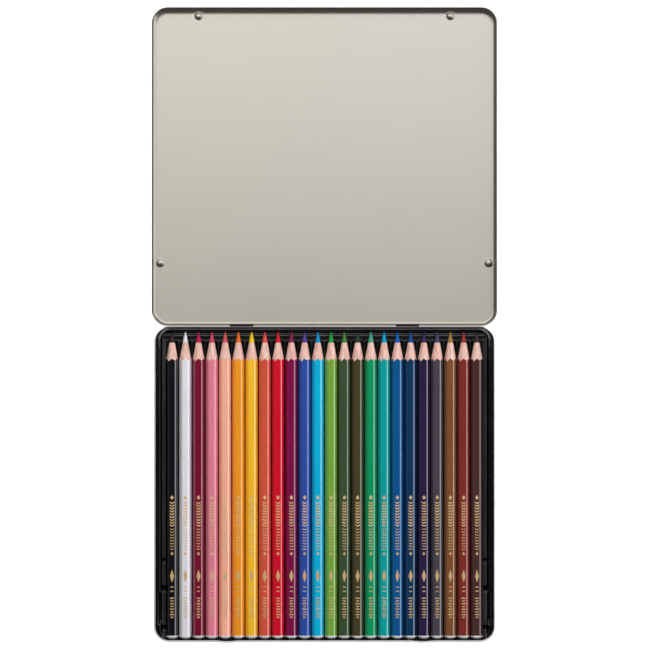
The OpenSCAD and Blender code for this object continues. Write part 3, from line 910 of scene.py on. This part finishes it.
def foil_shape(x0):
    """Plain stamped ornament on the upper flat: lozenges, chevrons, rules and ticks."""
    s = Shape()
    r = CROWN[0][2]
    left = (HEX_A - EDGE_R) * math.tan(math.radians(30))

    def top(x):
        o = max(0.0, abs(x) - (left if x < 0 else FLAT) * 0.994)
        return HEX_Z + 0.994 * HEX_A - (r - math.sqrt(r * r - o * o))

    def strip(w, lo, hi, n=4):
        """Film between two curves lo(|x|) and hi(|x|), following the barrel."""
        xs = sorted({round(sg * w * k / n, 5) for k in range(n + 1) for sg in (-1, 1)})
        rows = []
        for up in (-0.02, 0.012):
            rows.append(s.add([(x0 + x, lo(abs(x)), top(x) + up) for x in xs]))
            rows.append(s.add([(x0 + x, hi(abs(x)), top(x) + up) for x in xs]))
        a, b, c, d = rows
        s.band(b, a, closed=False)
        s.band(c, d, closed=False)
        s.band(a, c, closed=False)
        s.band(d, b, closed=False)
        s.face((a[0], b[0], d[0], c[0]))
        s.face((a[-1], c[-1], d[-1], b[-1]))

    def bar(w, ya, yb):
        strip(w, lambda x: ya, lambda x: yb)

    def lozenge(y, w, h):
        strip(w, lambda x: y - h * (1.03 - x / w), lambda x: y + h * (1.03 - x / w), 5)

    def chevron(y, w, t, lean):
        strip(w, lambda x: y + lean * x / w, lambda x: y + t + lean * x / w)

    lozenge(-7.6, 1.0, 1.3)
    for k in range(9):
        chevron(-11.3 - 1.62 * k, 1.25, 0.72, 0.7)
    for k in range(8):
        chevron(-26.2 - 1.62 * k, 1.1, 0.45, 0.6)
    lozenge(-39.6, 0.9, 1.0)
    lozenge(-52.3, 1.15, 3.6)
    bar(0.85, -58.9, -58.3)
    bar(0.85, -61.3, -60.7)
    for k in range(8):
        bar(1.15 if k % 2 == 0 else 0.8, -65.3 - 1.55 * k, -64.6 - 1.55 * k)
    return s


for i in range(24):
    x0 = (i - 11.5) * PITCH
    kk = f"{i + 1:02d}"
    barrel_rgb, lead_rgb, cname = COLOURS[i]
    body = f"pencil_{kk}"
    lac = lacquer(f"lacquer_{cname}", srgb(*barrel_rgb), i)
    core = wax(f"core_{cname}", srgb(*lead_rgb), i)
    make(f"barrel_{kk}", casing_shape(x0), [lac, WOOD, WHITE], body, [f"pencil_{kk}_casing"],
         sharp=40)
    make(f"core_{kk}", lead_shape(x0), [core], body, [f"pencil_{kk}_lead"], sharp=60)
    make(f"foil_{kk}", foil_shape(x0), [FOIL], body, sharp=20)

# ---------------------------------------------------------------- stage
sc = bpy.context.scene
fm = bpy.data.meshes.new("floor")
fm.from_pydata([(-6, -6, 0), (6, -6, 0), (6, 6, 0), (-6, 6, 0)], [], [(0, 1, 2, 3)])
floor = bpy.data.objects.new("floor", fm)
sc.collection.objects.link(floor)
fmat = Mat("floor_paper")
fmat.set(Roughness=0.9, Base_Color=(0.9, 0.9, 0.9))
fmat.bsdf.inputs["Emission Color"].default_value = (1.0, 1.0, 1.0, 1.0)
fmat.bsdf.inputs["Emission Strength"].default_value = 0.95
fm.materials.append(fmat.mat)
floor.location.z = -0.0002

world = bpy.data.worlds.new("studio")
sc.world = world
world.use_nodes = True
wn = world.node_tree
sky = wn.nodes["Background"]
tc = wn.nodes.new("ShaderNodeTexCoord")
sep = wn.nodes.new("ShaderNodeSeparateXYZ")
wn.links.new(tc.outputs["Generated"], sep.inputs[0])
fade = wn.nodes.new("ShaderNodeMapRange")
fade.inputs["From Min"].default_value, fade.inputs["From Max"].default_value = 0.0, 1.0
fade.inputs["To Min"].default_value, fade.inputs["To Max"].default_value = 0.16, 0.02
wn.links.new(sep.outputs["Z"], fade.inputs["Value"])
wn.links.new(fade.outputs["Result"], sky.inputs["Strength"])
sky.inputs["Color"].default_value = (1.0, 1.0, 1.0, 1.0)


def area(name, at, to, size, power, colour=(1, 1, 1), size_y=None):
    L = bpy.data.lights.new(name, "AREA")
    L.shape = "RECTANGLE"
    L.size, L.size_y = size, size_y or size
    L.energy = power
    L.color = colour
    ob = bpy.data.objects.new(name, L)
    ob.location = at
    ob.rotation_mode = "QUATERNION"
    ob.rotation_quaternion = (Vector(to) - Vector(at)).to_track_quat("-Z", "Y")
    sc.collection.objects.link(ob)
    return ob


def softbox(name, azimuth, zenith, dist, wide, tall, radiance, aim=(0, 0.09, 0)):
    """A softbox given by where it stands and how bright its face looks."""
    a, z = math.radians(azimuth), math.radians(zenith)
    at = (aim[0] + dist * math.sin(z) * math.cos(a), aim[1] + dist * math.sin(z) * math.sin(a),
          aim[2] + dist * math.cos(z))
    return area(name, at, aim, wide, radiance * math.pi * wide * tall, size_y=tall)


softbox("key_right", 2, 70, 1.6, 1.7, 1.0, 2.5, aim=(0, 0.03, 0))
softbox("fill_left", 180, 62, 1.8, 1.2, 1.2, 0.06)
# a panel overhead, beyond the hinge: the open lid mirrors it, the pencils don't
for sg, tint in ((-1, (1.0, 1.0, 0.94)), (1, (1.0, 0.985, 1.06))):
    area("overhead", (0.6 * sg, 1.27, 1.3), (0.6 * sg, 1.27, 0), 1.2, 2.75 * math.pi * 1.2 * 2.3, tint, size_y=2.3)

cam_data = bpy.data.cameras.new("camera")
cam = bpy.data.objects.new("camera", cam_data)
sc.collection.objects.link(cam)
DIST, WIDTH = 3.6, 0.3702
cam_data.sensor_width = 36.0
cam_data.lens = 36.0 * DIST / WIDTH
cam_data.clip_start, cam_data.clip_end = 0.05, 60.0
cam.location = (0.00028, 0.09063, DIST + 0.008)
cam.rotation_euler = (0, 0, 0)
sc.camera = cam

sc.view_settings.view_transform = "Standard"
